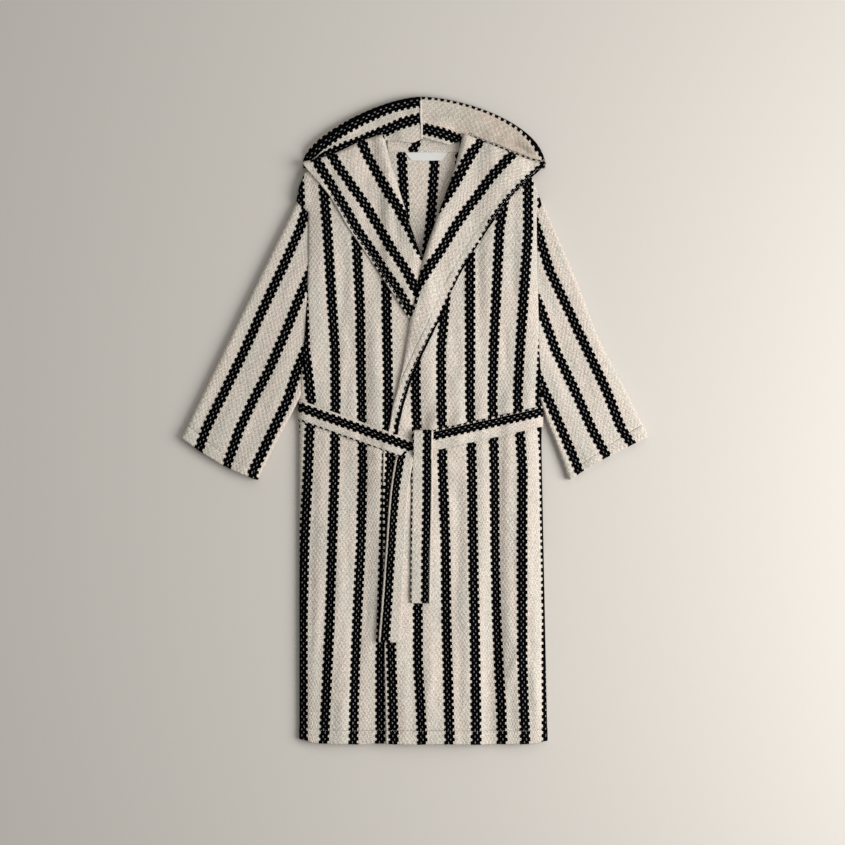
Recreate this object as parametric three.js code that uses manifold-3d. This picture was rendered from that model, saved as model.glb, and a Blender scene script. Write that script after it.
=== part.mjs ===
// Hooded bathrobe with a tied belt, laid flat on its back with its sleeves spread.
// Millimetres. +Z is up out of the surface it lies on, +Y runs towards the hood.
// The wearer's right-hand side is at -X. The origin is the middle of the base.

import * as THREE from 'three';
import { mergeVertices } from 'three/addons/utils/BufferGeometryUtils.js';
import Module from 'manifold-3d';

const wasm = await Module();
wasm.setup();

// ---- Driving dimensions ----

const CLOTH = 4; // thickness of the terry cloth
const GAP = 0.4; // between pieces that touch
const BELT = 4.5; // thickness of the belt, which is a flat tube of cloth
const BELT_WIDTH = 40;

const HALF_WIDTH = 489.5; // cuff to cuff is twice this
const HALF_LENGTH = 678.5; // hem to top of hood is twice this
const HEM_Y = -HALF_LENGTH;

// Heights of the layers, each measured to the underside of its cloth.
const FRONT_Z = 18; // right front, and the left front where it isn't wrapped over
const WRAP_Z = FRONT_Z + CLOTH + GAP; // left front where it lies over the right front; lapels
const BELT_Z = WRAP_Z + CLOTH + GAP; // belt over the wrapped front
const KNOT_TOP = BELT_Z + 15;
const SLEEVE_HEIGHT = 17.6;
const SLOT_LOW = CLOTH; // the arm's way through a sleeve
const SLOT_HIGH = SLEEVE_HEIGHT - CLOTH;

// The left front climbs from FRONT_Z to WRAP_Z between these.
const CLIMB_FROM_X = 62;
const CLIMB_TO_X = 37;

// Side seams, underarms and armholes. r is the wearer's right, l the left.
const SIDE_R = -241.5;
const SIDE_L = 264.5;
const HEM_L_X = 277;
const FLARE_Y = -60; // below this the left side seam runs out to HEM_L_X
const UNDERARM_R_Y = 52;
const UNDERARM_L_Y = 46;
const ARMHOLE_TOP_R = [-220.5, 437];
const ARMHOLE_TOP_L = [258, 440];
const SHOULDER_R = [[-247.8, 458], [-241.5, 497]];
const SHOULDER_L = [[264.6, 462], [266, 484]];
const PATCH_Y_R = 450; // the dropped shoulder is closed above this, and the sleeve joins below
const PATCH_Y_L = 445;
const NECK_R = [-63, 565];
const NECK_L = [101, 565];

// The hood turns up about the line HOOD_AXIS_Y, just above the lapels.
const HOOD_AXIS_Y = 535.5;
const HOOD_CORNER_R = [-235, 540];
const HOOD_CORNER_L = [273, 540];
const HOOD_SEAM_X = 12;
const HOOD_TOP = [HOOD_SEAM_X, HALF_LENGTH];
const HOOD_INNER_Z = 11; // the layer of the hood whose inside faces up
const HOOD_WALL = 5;
const MOUTH_Y = 590; // the hood's mouth lies between this and the neck facing
const FACING_TOP_Y = 584;

// Where the belt's centre line crosses the side seams and meets the knot.
const BELT_SIDE_R_Y = 20;
const BELT_SIDE_L_Y = 7;
const KNOT = { x: 14, y: -53, width: 50, length: 58, corner: 12, bevel: 4 };
const BUMP = { from: -22, to: 50, ramp: 14, under: 6.9 }; // the back panel over the belt
const BELT_BACK_Z = 2;
const LOOP = { width: 8, cloth: 1.3, low: 0.3, inset: 13 };

const COLOURS = { ecru: 0xd9d2c6, belt: 0x4a4845, label: 0xf1efeb };

// ---- Solids ----

const toSolid = (geometry) => {
  geometry.deleteAttribute('normal');
  geometry.deleteAttribute('uv');
  const merged = mergeVertices(geometry, 1e-4);
  return new wasm.Manifold(new wasm.Mesh({
    numProp: 3,
    vertProperties: new Float32Array(merged.attributes.position.array),
    triVerts: new Uint32Array(merged.index.array),
  }));
};

const toGeometry = (solid) => {
  const mesh = solid.getMesh();
  const geometry = new THREE.BufferGeometry();
  geometry.setAttribute('position', new THREE.BufferAttribute(mesh.vertProperties, 3));
  geometry.setIndex(new THREE.BufferAttribute(mesh.triVerts, 1));
  const flat = geometry.toNonIndexed();
  flat.computeVertexNormals();
  return flat;
};

const shapeOf = (points) => new THREE.Shape(points.map(([x, y]) => new THREE.Vector2(x, y)));

const extrude = (points, depth) =>
  new THREE.ExtrudeGeometry(shapeOf(points), { depth, bevelEnabled: false });

/** A plate with an outline in X and Y, from one height to another. */
const plate = (outline, low, high) =>
  toSolid(extrude(outline, high - low).translate(0, 0, low));

/** A profile in Y and Z, drawn out along X. */
const alongX = (profile, from, to) => {
  const basis = new THREE.Matrix4().makeBasis(
    new THREE.Vector3(0, 1, 0), new THREE.Vector3(0, 0, 1), new THREE.Vector3(1, 0, 0));
  return toSolid(extrude(profile, to - from).applyMatrix4(basis).translate(from, 0, 0));
};

/** A profile in X and Z, drawn out along Y, and sheared by slope in Y for each mm of X past hingeX. */
const alongY = (profile, from, to, slope = 0, hingeX = 0) => {
  const basis = new THREE.Matrix4().makeBasis(
    new THREE.Vector3(1, 0, 0), new THREE.Vector3(0, 0, 1), new THREE.Vector3(0, -1, 0));
  const geometry = extrude(profile, to - from).applyMatrix4(basis).translate(-hingeX, to, 0);
  const shear = new THREE.Matrix4().makeShear(slope, 0, 0, 0, 0, 0);
  return toSolid(geometry.applyMatrix4(shear).translate(hingeX, 0, 0));
};

/** A band of even height whose underside follows the line. */
const band = (line, height) => [
  ...line,
  ...line.map(([s, z]) => [s, z + height]).reverse(),
];

const curvePoints = (curve, divisions) => curve.getPoints(divisions).map((p) => [p.x, p.y]);

const spline = (points, divisions) =>
  curvePoints(new THREE.SplineCurve(points.map(([x, y]) => new THREE.Vector2(x, y))), divisions);

const bezier = (a, b, c, d, divisions) =>
  curvePoints(new THREE.CubicBezierCurve(
    ...[a, b, c, d].map(([x, y]) => new THREE.Vector2(x, y))), divisions);

const shifted = (points, dx, dy) => points.map(([x, y]) => [x + dx, y + dy]);

const joined = (solids) => solids.reduce((whole, solid) => whole.add(solid));

// ---- Outlines shared by the pieces ----

const FAR = 900; // past every edge of the robe

const frontEdge = [
  [-58.8, HEM_Y], [-65, -277], [-65, -61], [-50.4, -21], [-27.3, 42], [-12.6, 180.6], [-9.2, 210],
];
const rollLineLeft = [[0, 246], [16.8, 332], [52.5, 437], [72, 491], [87, 536]];
const rollLineRight = [[-52, 535], [-45, 516], [-14.7, 418], [15.5, 332]];

const backOutline = [
  [SIDE_R, HEM_Y], [HEM_L_X, HEM_Y], [SIDE_L, FLARE_Y], [SIDE_L, UNDERARM_L_Y], ARMHOLE_TOP_L,
  ...SHOULDER_L, NECK_L, NECK_R, ...[...SHOULDER_R].reverse(), ARMHOLE_TOP_R,
  [SIDE_R, UNDERARM_R_Y],
];

const hoodCurveRight = bezier(HOOD_CORNER_R, [-232, 595], [-70, 677], HOOD_TOP, 14);
const hoodCurveLeft = bezier(HOOD_TOP, [95, 678], [262, 625], HOOD_CORNER_L, 14);
const lapelTopRight = spline([[-235, 540], [-174, 556], [-111, 585], [-67, 598.5]], 8);
const lapelTopLeft = spline([[103, 601], [152, 580], [232, 548], [273, 540]], 8);

// ---- Body ----

/**
 * The back, with low walls up to the side and shoulder seams, and a bump over the belt that passes
 * behind it. It is open at the hem, the armholes and the neck.
 */
function backPanel() {
  const [tipR, tipL] = [SHOULDER_R[1], SHOULDER_L[1]];
  const room = [
    [SIDE_R + CLOTH, -FAR], [HEM_L_X - CLOTH, -FAR], [HEM_L_X - CLOTH, HEM_Y],
    [SIDE_L - CLOTH, FLARE_Y], [SIDE_L - CLOTH, UNDERARM_L_Y], [FAR, UNDERARM_L_Y + CLOTH],
    [FAR, PATCH_Y_L], [SHOULDER_L[0][0] - CLOTH, PATCH_Y_L], [tipL[0] - CLOTH, tipL[1] - CLOTH],
    [NECK_L[0], NECK_L[1] - CLOTH], [NECK_L[0], FAR], [NECK_R[0], FAR],
    [NECK_R[0], NECK_R[1] - CLOTH], [tipR[0] + CLOTH, tipR[1] - CLOTH],
    [SHOULDER_R[0][0] + CLOTH, PATCH_Y_R], [-FAR, PATCH_Y_R],
    [-FAR, UNDERARM_R_Y + CLOTH], [SIDE_R + CLOTH, UNDERARM_R_Y],
  ];
  const tray = plate(backOutline, 0, FRONT_Z - GAP).subtract(plate(room, CLOTH, FRONT_Z + 1));
  const top = BUMP.under + CLOTH;
  const rise = [
    [BUMP.from - BUMP.ramp, 0], [BUMP.to + BUMP.ramp, 0], [BUMP.to, top], [BUMP.from, top],
  ];
  const tunnel = [
    [BUMP.from - BUMP.ramp + CLOTH, -1], [BUMP.to + BUMP.ramp - CLOTH, -1],
    [BUMP.to, BUMP.under], [BUMP.from, BUMP.under],
  ];
  const bump = alongX(rise, SIDE_R - 1, HEM_L_X).intersect(plate(backOutline, -1, top + 1));
  return tray.add(bump).subtract(alongX(tunnel, -FAR, FAR));
}

function rightFrontPanel() {
  const outline = [
    [SIDE_R, HEM_Y], [31, HEM_Y], [31, 270], ...[...rollLineRight].reverse(), NECK_R,
    ...[...SHOULDER_R].reverse(), ARMHOLE_TOP_R, [SIDE_R, UNDERARM_R_Y],
  ];
  return plate(outline, FRONT_Z, FRONT_Z + CLOTH);
}

/** Cloth that lies at one height over the wearer's left and climbs over the wrapped part. */
const wrapped = (outline, low, high) => {
  const climb = band([[-FAR, high], [CLIMB_TO_X, high], [CLIMB_FROM_X, low], [FAR, low]], CLOTH);
  return plate(outline, 0, FAR).intersect(alongY(climb, -FAR, FAR));
};

function leftFrontPanel() {
  const outline = [
    ...frontEdge, ...rollLineLeft, NECK_L, ...[...SHOULDER_L].reverse(), ARMHOLE_TOP_L,
    [SIDE_L, UNDERARM_L_Y], [SIDE_L, FLARE_Y], [HEM_L_X, HEM_Y],
  ];
  return wrapped(outline, FRONT_Z, WRAP_Z);
}

/** The wearer's right lapel, which ends where the left front crosses it. */
function rightLapel() {
  const outline = [
    ...rollLineRight, [-1, 246], [-10.2, 212], [-147, 418], [-225, 523], [-232, HOOD_AXIS_Y - GAP],
  ];
  return plate(outline, WRAP_Z, WRAP_Z + CLOTH);
}

function leftLapel() {
  const outerEdge = spline(
    [[-25, 55], [33.6, 178.5], [96.6, 313], [191, 456], [264.6, 529]], 12);
  const outline = [
    ...outerEdge, [267, HOOD_AXIS_Y - GAP], [86.5, HOOD_AXIS_Y - GAP],
    ...rollLineLeft.slice(0, -1).reverse(), [-9.2, 210], [-12.6, 180.6],
  ];
  return wrapped(outline, WRAP_Z, BELT_Z);
}

const neckLabel = () =>
  plate([[-12, 549], [60, 549], [69, 564], [-21, 564]], CLOTH + GAP, CLOTH + GAP + 0.8);

// ---- Hood ----

/** The part of a solid that lies on one side of the hood's centre seam. */
const onSide = (solid, side) => {
  const seam = HOOD_SEAM_X + side * GAP / 2;
  const half = side < 0 ? [-FAR, seam] : [seam, FAR];
  return solid.intersect(plate([[half[0], 0], [half[1], 0], [half[1], FAR], [half[0], FAR]], -1, FAR));
};

/**
 * One half of the hood, which is a flat bag with its mouth towards the neck: the outer layer, the
 * rolled edge, the inner layer, and the fold that brings the cloth forward to the top of the lapel.
 */
function hoodHalf(side, curve, neck, lapelTop, rollLine) {
  const corner = curve[side < 0 ? 0 : curve.length - 1];
  const seamEnd = curve[side < 0 ? curve.length - 1 : 0];
  const foldEnd = lapelTop[side < 0 ? lapelTop.length - 1 : 0];
  const innerTop = HOOD_INNER_Z + CLOTH;
  const loop = (edge, rest) => (side < 0 ? [...edge, ...rest] : [...[...edge].reverse(), ...rest]);

  const outer = loop(curve, [[seamEnd[0], neck[1] + GAP], [neck[0], neck[1] + GAP],
    [corner[0], corner[1] - 2]]);
  const edge = [...curve, ...shifted(curve, -side * HOOD_WALL, -HOOD_WALL).reverse()];
  const foldLine = side < 0 ? [...lapelTop].reverse() : lapelTop;
  const inner = loop(curve, [[seamEnd[0], MOUTH_Y], [foldEnd[0], MOUTH_Y],
    ...shifted(foldLine, 0, -HOOD_WALL / 2)]);
  const fold = [...lapelTop, ...shifted(lapelTop, 0, -HOOD_WALL).reverse()];
  const lapel = [...foldLine, ...rollLine];

  return onSide(joined([
    plate(outer, 0, CLOTH),
    plate(edge, 0, innerTop),
    plate(inner, HOOD_INNER_Z, innerTop),
    plate(fold, HOOD_INNER_Z, WRAP_Z + CLOTH),
    plate(lapel, WRAP_Z, WRAP_Z + CLOTH),
  ]), side);
}

const LAPEL_BASE_Y = HOOD_AXIS_Y + GAP;

const hoodRightHalf = () => hoodHalf(
  -1, hoodCurveRight, NECK_R, lapelTopRight,
  [[-232, LAPEL_BASE_Y], [-52, LAPEL_BASE_Y], [-60, 568]]);

const hoodLeftHalf = () => hoodHalf(
  1, hoodCurveLeft, NECK_L, lapelTopLeft,
  [[268, LAPEL_BASE_Y], [87, LAPEL_BASE_Y], [96, 572]]);

/** The strip inside the neck, which rises from the neck seam to the mouth of the hood. */
function neckFacing() {
  const rise = [[NECK_R[1] + GAP, CLOTH + GAP], [FACING_TOP_Y, HOOD_INNER_Z]];
  return alongX(band(rise, CLOTH), -57, 93);
}

// ---- Sleeves ----

/** A flat tube, open at the cuff and along the armhole. */
function sleeve(side, { outerEdge, cuff, underarm, armholeTop }) {
  const wall = CLOTH + 1;
  const cuffInner = cuff[cuff.length - 1];
  const outline = shifted([...outerEdge, ...cuff, underarm, armholeTop], side * GAP, -GAP);
  const outerWall = shifted(outerEdge, -side * wall, -wall / 2);
  const [outerEnd] = outerWall.slice(-1);
  const pastCuff = 200;
  const slot = [
    ...outerWall,
    [outerEnd[0] + side * pastCuff / 2, outerEnd[1] - pastCuff],
    [cuffInner[0] + side * (wall + pastCuff / 2), cuffInner[1] - pastCuff],
    [cuffInner[0] + side * wall, cuffInner[1] + wall / 2],
    [underarm[0] + side * wall, underarm[1] + wall / 2],
    [underarm[0] - side * FAR / 2, underarm[1] + wall / 2],
    [armholeTop[0] - side * FAR / 2, armholeTop[1]],
    [armholeTop[0], armholeTop[1]],
  ];
  return plate(outline, 0, SLEEVE_HEIGHT).subtract(plate(slot, SLOT_LOW, SLOT_HIGH));
}

const rightSleeve = () => sleeve(-1, {
  outerEdge: [SHOULDER_R[0], [-262.5, 428], [GAP - HALF_WIDTH, -36]],
  cuff: [[-449, -65], [-393, -98], [-332, -124]],
  underarm: [SIDE_R, UNDERARM_R_Y],
  armholeTop: ARMHOLE_TOP_R,
});

const leftSleeve = () => sleeve(1, {
  outerEdge: [SHOULDER_L[0], [386.4, 170], [HALF_WIDTH - GAP, -34]],
  cuff: [[455, -50], [403, -76], [353, -105], [325.5, -124]],
  underarm: [SIDE_L, UNDERARM_L_Y],
  armholeTop: ARMHOLE_TOP_L,
});

// ---- Belt ----

const knotSide = (side) => KNOT.x + side * (KNOT.width / 2 + GAP);

/** The length of belt from behind one side seam, round the side and over the front to the knot. */
function beltRun(seamX, seamY, side, line) {
  const slope = (KNOT.y - seamY) / (KNOT.x - seamX);
  const inside = seamX + side * GAP;
  const outside = inside + side * BELT;
  const profile = [
    [inside, BELT_BACK_Z], [outside, BELT_BACK_Z], [outside, WRAP_Z + BELT],
    ...shifted(line, 0, BELT), [knotSide(side), BELT_Z + BELT], [knotSide(side), BELT_Z],
    ...[...line].reverse(), [inside, WRAP_Z],
  ];
  return alongY(profile, seamY - BELT_WIDTH / 2, seamY + BELT_WIDTH / 2, slope, seamX);
}

const beltRightRun = () => beltRun(SIDE_R, BELT_SIDE_R_Y, -1, [[-88, WRAP_Z], [-70, BELT_Z]]);

const beltLeftRun = () => beltRun(SIDE_L, BELT_SIDE_L_Y, 1, [[80, WRAP_Z], [62, BELT_Z]]);

const beltSlope = (BELT_SIDE_L_Y - BELT_SIDE_R_Y) / (SIDE_L - SIDE_R);

function beltBackRun() {
  const profile = band([[SIDE_R, BELT_BACK_Z], [SIDE_L, BELT_BACK_Z]], BELT);
  return alongY(
    profile, BELT_SIDE_R_Y - BELT_WIDTH / 2, BELT_SIDE_R_Y + BELT_WIDTH / 2, beltSlope, SIDE_R);
}

function beltKnot() {
  const { x, y, width, length, corner, bevel } = KNOT;
  const [w, l] = [width / 2 - bevel, length / 2 - bevel];
  const outline = new THREE.Shape()
    .moveTo(w, l - corner).quadraticCurveTo(w, l, w - corner, l)
    .lineTo(corner - w, l).quadraticCurveTo(-w, l, -w, l - corner)
    .lineTo(-w, corner - l).quadraticCurveTo(-w, -l, corner - w, -l)
    .lineTo(w - corner, -l).quadraticCurveTo(w, -l, w, corner - l);
  const depth = KNOT_TOP - BELT_Z - 2 * bevel;
  const geometry = new THREE.ExtrudeGeometry(outline, {
    depth, bevelSize: bevel, bevelThickness: bevel, bevelSegments: 3, curveSegments: 4,
  });
  return toSolid(geometry.translate(x, y, BELT_Z + bevel));
}

const TAIL_TOP_Y = KNOT.y - KNOT.length / 2 - GAP;

/** A loose end of the belt, from its corners at the knot to its corners at the tip. */
const beltTail = ([topLeft, topRight], [tipRight, tipLeft], tipY) => plate(
  [[topLeft, TAIL_TOP_Y], [topRight, TAIL_TOP_Y], [tipRight, tipY], [tipLeft, tipY]],
  BELT_Z, BELT_Z + BELT);

const beltTailOver = () => beltTail([-2, 36], [28.6, -8], -382);

const beltTailUnder = () => beltTail([-35, -8], [-29, -77], -464);

/** A sewn loop on the back beside a side seam, under the belt that passes through it. */
function beltLoop(x) {
  const middle = BELT_SIDE_R_Y + beltSlope * (x - SIDE_R);
  const [near, far] = [middle - BELT_WIDTH / 2 - 1, middle + BELT_WIDTH / 2 + 1];
  const { width, cloth, low } = LOOP;
  const top = BUMP.under - GAP;
  const profile = [
    [near - cloth, low], [far + cloth, low], [far + cloth, top], [far, top],
    [far, low + cloth], [near, low + cloth], [near, top], [near - cloth, top],
  ];
  return alongX(profile, x - width / 2, x + width / 2);
}

// ---- Scene ----

const cloth = { color: COLOURS.ecru, roughness: 0.95, metalness: 0 };
const beltCloth = { color: COLOURS.belt, roughness: 0.92, metalness: 0 };
const satin = { color: COLOURS.label, roughness: 0.45, metalness: 0 };

const pieces = [
  ['back_panel', backPanel, cloth],
  ['right_front_panel', rightFrontPanel, cloth],
  ['left_front_panel', leftFrontPanel, cloth],
  ['right_lapel', rightLapel, cloth],
  ['left_lapel', leftLapel, cloth],
  ['neck_label', neckLabel, satin],
  ['hood_right_half', hoodRightHalf, cloth],
  ['hood_left_half', hoodLeftHalf, cloth],
  ['neck_facing', neckFacing, cloth],
  ['right_sleeve', rightSleeve, cloth],
  ['left_sleeve', leftSleeve, cloth],
  ['belt_back_run', beltBackRun, beltCloth],
  ['belt_right_run', beltRightRun, beltCloth],
  ['belt_left_run', beltLeftRun, beltCloth],
  ['belt_knot', beltKnot, beltCloth],
  ['belt_tail_over', beltTailOver, beltCloth],
  ['belt_tail_under', beltTailUnder, beltCloth],
  ['right_belt_loop', () => beltLoop(SIDE_R + LOOP.inset), cloth],
  ['left_belt_loop', () => beltLoop(SIDE_L - LOOP.inset), cloth],
];

const bathrobe = new THREE.Group();
for (const [name, build, finish] of pieces) {
  const mesh = new THREE.Mesh(toGeometry(build()), new THREE.MeshStandardMaterial(finish));
  mesh.name = name;
  bathrobe.add(mesh);
}

export default bathrobe;
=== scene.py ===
"""Looks for the hooded bathrobe: striped terry cloth laid flat on its back, belt tied, sleeves spread.

"r" names the wearer's right side and "l" the left.
"""

import math

import bmesh
import bpy
import numpy as np
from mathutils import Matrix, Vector


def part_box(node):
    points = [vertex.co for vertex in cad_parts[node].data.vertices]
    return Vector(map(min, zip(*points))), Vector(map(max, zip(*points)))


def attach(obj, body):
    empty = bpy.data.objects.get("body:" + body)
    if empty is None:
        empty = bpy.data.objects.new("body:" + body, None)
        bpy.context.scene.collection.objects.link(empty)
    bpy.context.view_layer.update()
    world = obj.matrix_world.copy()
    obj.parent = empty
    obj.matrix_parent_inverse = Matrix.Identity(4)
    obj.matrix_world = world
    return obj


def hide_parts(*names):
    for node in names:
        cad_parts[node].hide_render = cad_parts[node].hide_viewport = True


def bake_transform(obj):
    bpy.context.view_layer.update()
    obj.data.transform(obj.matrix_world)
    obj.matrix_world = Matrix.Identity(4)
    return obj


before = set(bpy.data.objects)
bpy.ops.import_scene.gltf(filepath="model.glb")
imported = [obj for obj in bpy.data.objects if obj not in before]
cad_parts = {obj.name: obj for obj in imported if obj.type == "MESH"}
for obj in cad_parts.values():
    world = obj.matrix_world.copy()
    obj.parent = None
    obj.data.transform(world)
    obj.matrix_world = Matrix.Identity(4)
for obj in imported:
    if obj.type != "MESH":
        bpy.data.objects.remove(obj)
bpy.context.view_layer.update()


def new_object(name, data):
    made = bpy.data.objects.new(name, data)
    bpy.context.collection.objects.link(made)
    return made


# ---- Camera ----

VIEW_CENTRE = (15.75, -5.25)
VIEW_WIDTH = 1774.5
VIEW_HEIGHT = 4600.0
CLOTH_LEVEL = 20.0

camera_data = bpy.data.cameras.new("camera")
camera_data.sensor_width = 36.0
camera_data.lens = camera_data.sensor_width * (VIEW_HEIGHT - CLOTH_LEVEL) / VIEW_WIDTH
camera_data.dof.use_dof = False
camera = new_object("camera", camera_data)
camera.location = (VIEW_CENTRE[0] / 1000, VIEW_CENTRE[1] / 1000, VIEW_HEIGHT / 1000)
bpy.context.scene.camera = camera
bpy.context.scene.view_settings.view_transform = "Standard"

# ---- Numbers ----

CLOTH = 4.0  # thickness of the terry
LAYER = 4.6  # rise from one layer to the next
HEM = 26.0  # depth of a sewn hem
HEM_Y = -678.5
SIDE_R, SIDE_L = -241.5, 264.5
CORNER_L = 277  # the hem's left corner, which flares past the side
EDGE_FOOT = -58.8  # the wrapped front's edge at the hem
HIDDEN_EDGE = 31  # where the right front ends under the left one
UNDERARM = (30, 90)  # the skirt's side changes to the armhole between these
SIDE_DEPTH = 12.0  # how far the skirt turns down at its sides
BACK_MID = 2.1  # height of the back's middle
FRONT_MID = 20.0  # height of the fronts' middle
KNOT = (14.0, -53.0)
BELT_AT_KNOT_R, BELT_AT_KNOT_L = -71.0, -48.0
BELT_SIDE_R = (-241.5, 20.0)
BELT_SIDE_L = (264.5, 7.0)
BELT_WIDTH = 40.0
COLUMN = 4.05  # width of a column of grains
GRAIN = 13.4  # length of a grain and the gap after it
PITCH = 14 * COLUMN  # from stripe to stripe
STRIPE_HOLD = 13.2  # the weave keeps its width this far from a stripe's middle


def smooth(x, low, high):
    """0 up to low, 1 from high on, and an S-curve between."""
    t = np.clip((np.asarray(x, float) - low) / (high - low), 0.0, 1.0)
    return t * t * (3 - 2 * t)


def noise(x, y, seed):
    """Smooth noise from -1 to 1, one lump to a unit."""
    table = np.random.default_rng(seed).uniform(-1, 1, (64, 64))
    x, y = np.broadcast_arrays(np.asarray(x, float), np.asarray(y, float))
    ix, iy = np.floor(x).astype(int), np.floor(y).astype(int)
    fx, fy = x - ix, y - iy
    fx, fy = fx * fx * (3 - 2 * fx), fy * fy * (3 - 2 * fy)
    corner = lambda i, j: table[(ix + i) % 64, (iy + j) % 64]
    low = corner(0, 0) * (1 - fx) + corner(1, 0) * fx
    high = corner(0, 1) * (1 - fx) + corner(1, 1) * fx
    return low * (1 - fy) + high * fy


def gauss(x, width):
    return np.exp(-((np.asarray(x, float) / width) ** 2))


# ---- Outlines ----


def rounded(points, steps=8):
    """A smooth line through points (Catmull-Rom)."""
    p = np.array(points, float)
    if len(p) < 3:
        return p
    p = np.vstack([2 * p[0] - p[1], p, 2 * p[-1] - p[-2]])
    out = []
    for a, b, c, d in zip(p[:-3], p[1:-2], p[2:-1], p[3:]):
        for t in np.arange(steps) / steps:
            out.append(0.5 * (2 * b + (c - a) * t + (2 * a - 5 * b + 4 * c - d) * t * t
                              + (3 * b - a - 3 * c + d) * t ** 3))
    return np.array(out + [p[-2]])


def bezier(a, b, c, d, steps=40):
    t = np.linspace(0, 1, steps + 1)[:, None]
    a, b, c, d = (np.array(q, float) for q in (a, b, c, d))
    return a * (1 - t) ** 3 + 3 * b * t * (1 - t) ** 2 + 3 * c * t * t * (1 - t) + d * t ** 3


def distances(line):
    """Distance along a line to each of its points."""
    return np.concatenate([[0], np.cumsum(np.linalg.norm(np.diff(line, axis=0), axis=-1))])


def along(line, t):
    """Points at shares t of a line's length."""
    line = np.array(line, float)
    s = np.concatenate([[0], np.cumsum(np.hypot(*np.diff(line, axis=0).T))])
    s = s / s[-1]
    return np.stack([np.interp(t, s, line[:, 0]), np.interp(t, s, line[:, 1])], -1)


def at_height(line, t):
    """Points at shares t of a line's rise in Y, for a line that always climbs."""
    line = np.array(line, float)
    y = line[0, 1] + np.asarray(t) * (line[-1, 1] - line[0, 1])
    return np.stack([np.interp(y, line[:, 1], line[:, 0]), y], -1)


def patch(bottom, top, left, right, u, v, side=along):
    """Points inside four lines. u runs from left to right and v from bottom to top."""
    b, t = along(bottom, u), along(top, u)
    left_at, right_at = side(left, v), side(right, v)
    u, v = u[..., None], v[..., None]
    corners = ((1 - u) * (1 - v) * along(bottom, 0.0) + u * (1 - v) * along(bottom, 1.0)
               + (1 - u) * v * along(top, 0.0) + u * v * along(top, 1.0))
    return (1 - v) * b + v * t + (1 - u) * left_at + u * right_at - corners


def spread(length, step, edges=(), fine=(0.8, 2.2, 4.2, 7.0, 10.5)):
    """Shares of a length, about a step apart, and closer at both ends and at edges."""
    marks = set(np.linspace(0, length, max(3, int(length / step) + 1)))
    extra = [0.0, length, *fine, *[length - f for f in fine]]
    for e in edges:
        extra += [e - 2.2, e - 1.0, e, e + 1.0, e + 2.2]
    marks = [m for m in marks if min(abs(m - e) for e in extra) > step * 0.35]
    return np.array(sorted(m for m in {*marks, *extra} if 0 <= m <= length)) / length


# ---- Meshes ----


def unit(a):
    return a / np.maximum(np.linalg.norm(a, axis=-1, keepdims=True), 1e-9)


def cloth(name, mid, weave, thickness, material, round_u=False):
    """A closed sheet about a grid of points, with rounded rims that fray a little.

    mid is (rows, columns, 3) in mm, weave the (rows, columns, 2) place on the cloth in mm.
    """
    rows, cols = mid.shape[:2]
    thickness = np.broadcast_to(np.asarray(thickness, float), (rows, cols))
    if round_u:
        du = np.roll(mid, -1, 1) - np.roll(mid, 1, 1)
    else:
        du = np.gradient(mid, axis=1)
    dv = np.gradient(mid, axis=0)
    normal = unit(np.cross(du, dv))
    half = thickness[..., None] / 2
    index = np.arange(rows * cols).reshape(rows, cols)
    points = [(mid + normal * half).reshape(-1, 3), (mid - normal * half).reshape(-1, 3)]
    places = [weave.reshape(-1, 2)] * 2
    faces = []
    low = rows * cols

    def strip(a, b, closed):
        """Quads between two loops of indices."""
        n = len(a)
        for i in range(n if closed else n - 1):
            j = (i + 1) % n
            faces.append((a[i], a[j], b[j], b[i]))

    columns = [(c, (c + 1) % cols) for c in range(cols if round_u else cols - 1)]
    for r in range(rows - 1):
        for c, d in columns:
            faces.append((index[r, c], index[r, d], index[r + 1, d], index[r + 1, c]))
            faces.append((low + index[r, c], low + index[r + 1, c],
                          low + index[r + 1, d], low + index[r, d]))
    out_row = {0: unit(mid[0] - mid[1]), rows - 1: unit(mid[-1] - mid[-2])}
    if round_u:
        borders = [[(0, c) for c in range(cols)], [(rows - 1, c) for c in range(cols)]]
    else:
        borders = [[(0, c) for c in range(cols)]
                   + [(r, cols - 1) for r in range(1, rows)]
                   + [(rows - 1, c) for c in range(cols - 2, -1, -1)]
                   + [(r, 0) for r in range(rows - 2, 0, -1)]]
        out_col = {0: unit(mid[:, 0] - mid[:, 1]), cols - 1: unit(mid[:, -1] - mid[:, -2])}
    total = 2 * rows * cols
    for border in borders:
        away = np.zeros((len(border), 3))
        for i, (r, c) in enumerate(border):
            if r in out_row:
                away[i] += out_row[r][c]
            if not round_u and c in out_col:
                away[i] += out_col[c][r]
        rr, cc = np.array(border).T
        n = normal[rr, cc]
        away = unit(away - n * (away * n).sum(-1, keepdims=True))
        h = half[rr, cc]
        fray = 0.5 * noise(mid[rr, cc, 0] / 3.3, mid[rr, cc, 1] / 3.3, 13)[:, None]
        loops = [index[rr, cc]]
        for a in (45, 0, -45):
            turn = math.radians(a)
            reach = h * math.cos(turn) + fray * math.cos(turn)
            points.append(mid[rr, cc] + away * reach + n * h * math.sin(turn))
            places.append(weave[rr, cc])
            loops.append(np.arange(total, total + len(border)))
            total += len(border)
        loops.append(low + index[rr, cc])
        for a, b in zip(loops, loops[1:]):
            strip(a, b, True)
    return mesh_object(name, np.vstack(points), faces, np.vstack(places), material)


def mesh_object(name, points, faces, places, material):
    mesh = bpy.data.meshes.new(name)
    mesh.from_pydata((points / 1000).tolist(), [], [tuple(int(i) for i in f) for f in faces])
    layer = mesh.uv_layers.new(name="weave")
    corners = np.empty(len(mesh.loops), int)
    mesh.loops.foreach_get("vertex_index", corners)
    layer.data.foreach_set("uv", (places[corners] / 1000).astype(np.float32).ravel())
    mesh.polygons.foreach_set("use_smooth", np.ones(len(mesh.polygons), bool))
    piece = new_object(name, mesh)
    turn_out(mesh)
    mesh.materials.append(material)
    return piece


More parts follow.
